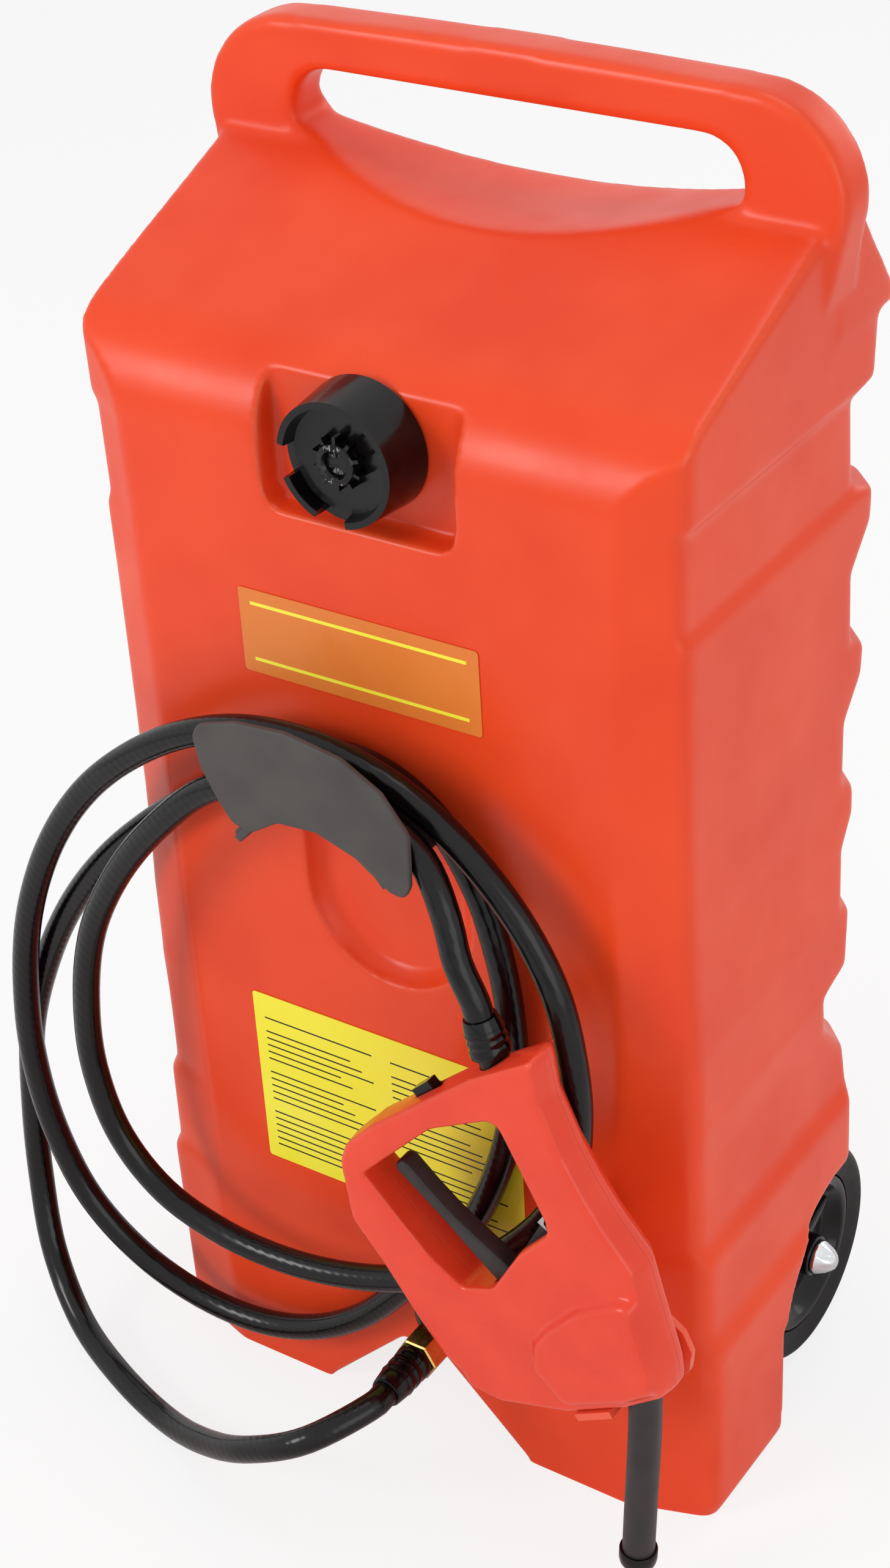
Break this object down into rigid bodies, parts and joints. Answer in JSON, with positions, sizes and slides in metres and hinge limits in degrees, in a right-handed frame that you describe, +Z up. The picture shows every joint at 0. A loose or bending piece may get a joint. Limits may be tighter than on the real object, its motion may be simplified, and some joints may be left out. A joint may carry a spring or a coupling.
{
  "type": "wheeled fuel transfer tank",
  "caption": "Upright plastic fuel tank on two rear wheels, with a carrying handle, a front screw cap, a hose coiled on a hanger and a hand pump nozzle standing in its holster.",
  "frame": {"origin": "bottom centre of the box round the rigid pieces, on the floor under the feet and wheels", "axes": "+Z up, +Y towards the back of the tank where the wheels are, +X to the side of the nozzle; the filler cap, the hose hanger and the nozzle face -Y"},
  "size_m": [0.5484, 0.4096, 0.89],
  "materials": {
    "tank_red": "semi-gloss moulded",
    "pump_red": "gloss moulded",
    "black_gloss": "gloss moulded",
    "black_rubber": "smooth",
    "tyre_black": "smooth",
    "dark_grey": "moulded",
    "hanger_grey": "moulded",
    "white_plastic": "moulded",
    "steel": "zinc plated",
    "chrome": "polished",
    "brass": "machined",
    "orange_film": "printed film",
    "yellow_film": "printed film"
  },
  "bodies": {
    "tank": {"tank_shell": "tank_red", "front_sticker": "orange_film", "lower_sticker": "yellow_film", "hose_hanger": "hanger_grey", "hanger_screw_1": "steel", "hanger_screw_2": "steel", "hanger_screw_3": "steel", "axle": "steel", "left_washer": "steel", "left_push_cap": "chrome", "right_washer": "steel", "right_push_cap": "chrome", "outlet_fitting": "black_gloss", "outlet_nut": "black_gloss", "outlet_strainer": "white_plastic", "brass_coupling": "brass", "hose_outlet_cuff": "black_gloss", "nozzle_front_shell": "pump_red", "nozzle_back_shell": "pump_red", "shell_screw_1": "steel", "shell_screw_2": "steel", "shell_screw_3": "steel", "shell_screw_4": "steel", "shell_screw_5": "steel", "trigger_pin": "steel", "trigger_spring": "steel", "pump_cylinder": "white_plastic", "outlet_housing": "white_plastic", "feed_tube": "black_rubber", "inlet_fitting": "black_gloss", "hose_inlet_cuff": "black_gloss", "spout_collar": "black_gloss", "spout": "dark_grey", "spout_tip_ring": "black_gloss", "nozzle_holster": "pump_red", "holster_screw_1": "steel", "holster_screw_2": "steel", "hose": "black_rubber"},
    "cap_carrier": {"cap_seal": "black_rubber"},
    "cap": {"cap_body": "black_gloss", "cap_hub": "black_gloss"},
    "left_wheel": {"left_tyre": "tyre_black", "left_hub": "black_gloss", "left_bush": "white_plastic"},
    "right_wheel": {"right_tyre": "tyre_black", "right_hub": "black_gloss", "right_bush": "white_plastic"},
    "trigger": {"trigger": "dark_grey"},
    "plunger": {"piston": "white_plastic", "piston_seal": "black_rubber", "piston_rod": "steel"},
    "latch": {"trigger_latch": "black_gloss"},
    "valve": {"outlet_valve": "steel"}
  },
  "joints": [
    {"name": "cap_lift", "type": "slide", "parent": "tank", "child": "cap_carrier", "axis": [0, -1, 0], "range_m": [0, 0.012]},
    {"name": "cap_turn", "type": "hinge", "parent": "cap_carrier", "child": "cap", "pos_m": [-0.00933, -0.09225, 0.715], "axis": [0, -1, 0], "range_deg": [0, 540]},
    {"name": "left_wheel_spin", "type": "hinge", "parent": "tank", "child": "left_wheel", "pos_m": [-0.17733, 0.10225, 0.076], "axis": [1, 0, 0], "continuous": true},
    {"name": "right_wheel_spin", "type": "hinge", "parent": "tank", "child": "right_wheel", "pos_m": [0.15867, 0.10225, 0.076], "axis": [1, 0, 0], "continuous": true},
    {"name": "trigger_squeeze", "type": "hinge", "parent": "tank", "child": "trigger", "pos_m": [0.11474, -0.15425, 0.22593], "axis": [0, 1, 0], "range_deg": [0, 18], "stiffness_Nm_per_rad": 2, "springref_deg": -11.46},
    {"name": "plunger_stroke", "type": "slide", "parent": "tank", "child": "plunger", "axis": [0.8442, 0, -0.536], "range_m": [0, 0.02119]},
    {"name": "latch_slide", "type": "slide", "parent": "tank", "child": "latch", "axis": [0.7267, 0, 0.6869], "range_m": [0, 0.008]},
    {"name": "valve_lift", "type": "slide", "parent": "tank", "child": "valve", "axis": [0, 0, -1], "range_m": [0, 0.004], "stiffness_N_per_m": 40, "springref_m": -0.004}
  ],
  "couplings": [
    {"joint": "cap_lift", "follows": "cap_turn", "m_per_rad": 0.0012732},
    {"joint": "plunger_stroke", "follows": "trigger_squeeze", "m_per_rad": 0.067447}
  ]
}
